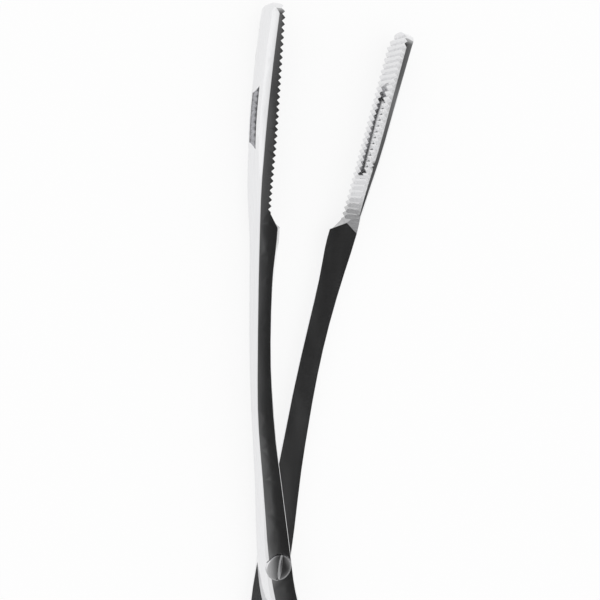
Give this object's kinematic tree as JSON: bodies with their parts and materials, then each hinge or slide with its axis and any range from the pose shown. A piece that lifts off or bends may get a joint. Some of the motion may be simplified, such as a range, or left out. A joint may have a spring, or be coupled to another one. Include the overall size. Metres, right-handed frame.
{
  "type": "kidney stone forceps",
  "caption": "Long scissor-jointed forceps with slim curved shanks, a slotted pivot screw, finger rings and slotted, serrated jaws that grip stones.",
  "frame": {"origin": "on the pivot screw's axis, in the flat underside of the back half at the joint, where the screw's end is flush", "axes": "+Z along the screw axis out of its slotted head, +Y from the joint towards the jaws, +X to the side that the closed jaws lean to; the forceps lies flat"},
  "size_m": [0.0834, 0.2284, 0.0075],
  "materials": {
    "polished_steel": "mirror-polished stainless steel",
    "screw_steel": "polished stainless steel, turned head"
  },
  "bodies": {
    "back": {"back_half": "polished_steel", "pivot_screw": "screw_steel"},
    "front": {"front_half": "polished_steel"}
  },
  "joints": [
    {"name": "jaw_pivot", "type": "hinge", "parent": "back", "child": "front", "pos_m": [0, 0, 0.0032], "axis": [0, 0, 1], "range_deg": [-13.3, 30]}
  ]
}
